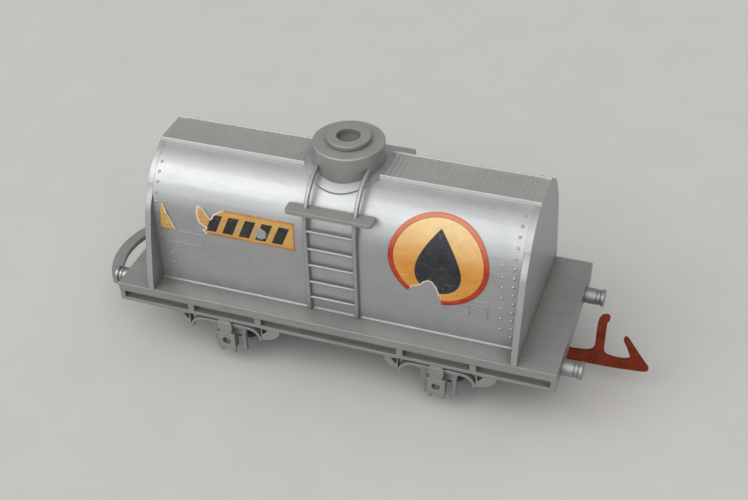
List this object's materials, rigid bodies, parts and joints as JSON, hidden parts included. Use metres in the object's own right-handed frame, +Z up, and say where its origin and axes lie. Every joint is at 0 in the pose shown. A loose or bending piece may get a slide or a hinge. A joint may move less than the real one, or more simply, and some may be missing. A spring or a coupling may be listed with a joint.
{
  "type": "model tank wagon",
  "caption": "Toy railway tank wagon with an arched tank, filler dome, side ladders, spring-hung axle guards, swivelling hook and fixed hoop.",
  "frame": {"origin": "midway between the two axles, on the centre line, on the plane the wheel flanges stand on", "axes": "+X along the wagon towards the hook end, +Y across the track, +Z up"},
  "size_m": [0.1146, 0.0348, 0.0488],
  "materials": {
    "tank_plastic": "satin silver-grey moulding with a metallic sheen",
    "roof_plastic": "satin silver-grey moulding, slightly dusty",
    "chassis_plastic": "satin silver-grey moulding",
    "buffer_plastic": "bright silver moulding, polished by handling",
    "wheel_black": "black moulding, tread worn shiny",
    "axle_steel": "drawn steel",
    "hook_tinplate": "red-brown oxidised tinplate",
    "rivet_steel": "dull steel",
    "screw_steel": "zinc-plated steel",
    "ballast_steel": "mill-finish steel strip",
    "label_paper": "varnished yellow paper"
  },
  "bodies": {
    "wagon": {"axle_guard_front_far": "chassis_plastic", "axle_guard_front_near": "chassis_plastic", "axle_guard_rear_far": "chassis_plastic", "axle_guard_rear_near": "chassis_plastic", "ballast_plate": "ballast_steel", "buffer_front_far": "buffer_plastic", "buffer_front_near": "buffer_plastic", "buffer_rear_far": "buffer_plastic", "buffer_rear_near": "buffer_plastic", "coupling_hoop": "chassis_plastic", "dome_body": "roof_plastic", "dome_flange": "roof_plastic", "dome_lid_ring": "roof_plastic", "emblem_far": "label_paper", "emblem_near": "label_paper", "end_plate_front": "tank_plastic", "end_plate_rear": "tank_plastic", "filler_plug": "roof_plastic", "hook_pivot_rivet": "rivet_steel", "label_far": "label_paper", "label_near": "label_paper", "ladder_far": "tank_plastic", "ladder_near": "tank_plastic", "leaf_spring_front_far": "chassis_plastic", "leaf_spring_front_near": "chassis_plastic", "leaf_spring_rear_far": "chassis_plastic", "leaf_spring_rear_near": "chassis_plastic", "roof_walk_front": "roof_plastic", "roof_walk_rear": "roof_plastic", "step_board_far": "tank_plastic", "step_board_near": "tank_plastic", "tank_screws": "screw_steel", "tank_shell": "tank_plastic", "underframe": "chassis_plastic"},
    "wheelset_front": {"axle_front": "axle_steel", "wheel_front_near": "wheel_black", "wheel_front_far": "wheel_black"},
    "wheelset_rear": {"axle_rear": "axle_steel", "wheel_rear_near": "wheel_black", "wheel_rear_far": "wheel_black"},
    "hook": {"coupling_hook": "hook_tinplate"}
  },
  "joints": [
    {"name": "wheelset_front_spin", "type": "hinge", "parent": "wagon", "child": "wheelset_front", "pos_m": [0.02205, 0, 0.0062], "axis": [0, 1, 0], "continuous": true},
    {"name": "wheelset_rear_spin", "type": "hinge", "parent": "wagon", "child": "wheelset_rear", "pos_m": [-0.02205, 0, 0.0062], "axis": [0, 1, 0], "continuous": true},
    {"name": "hook_swivel", "type": "hinge", "parent": "wagon", "child": "hook", "pos_m": [0.037, 0, 0.0073], "axis": [0, 0, 1], "range_deg": [-18, 18]}
  ]
}
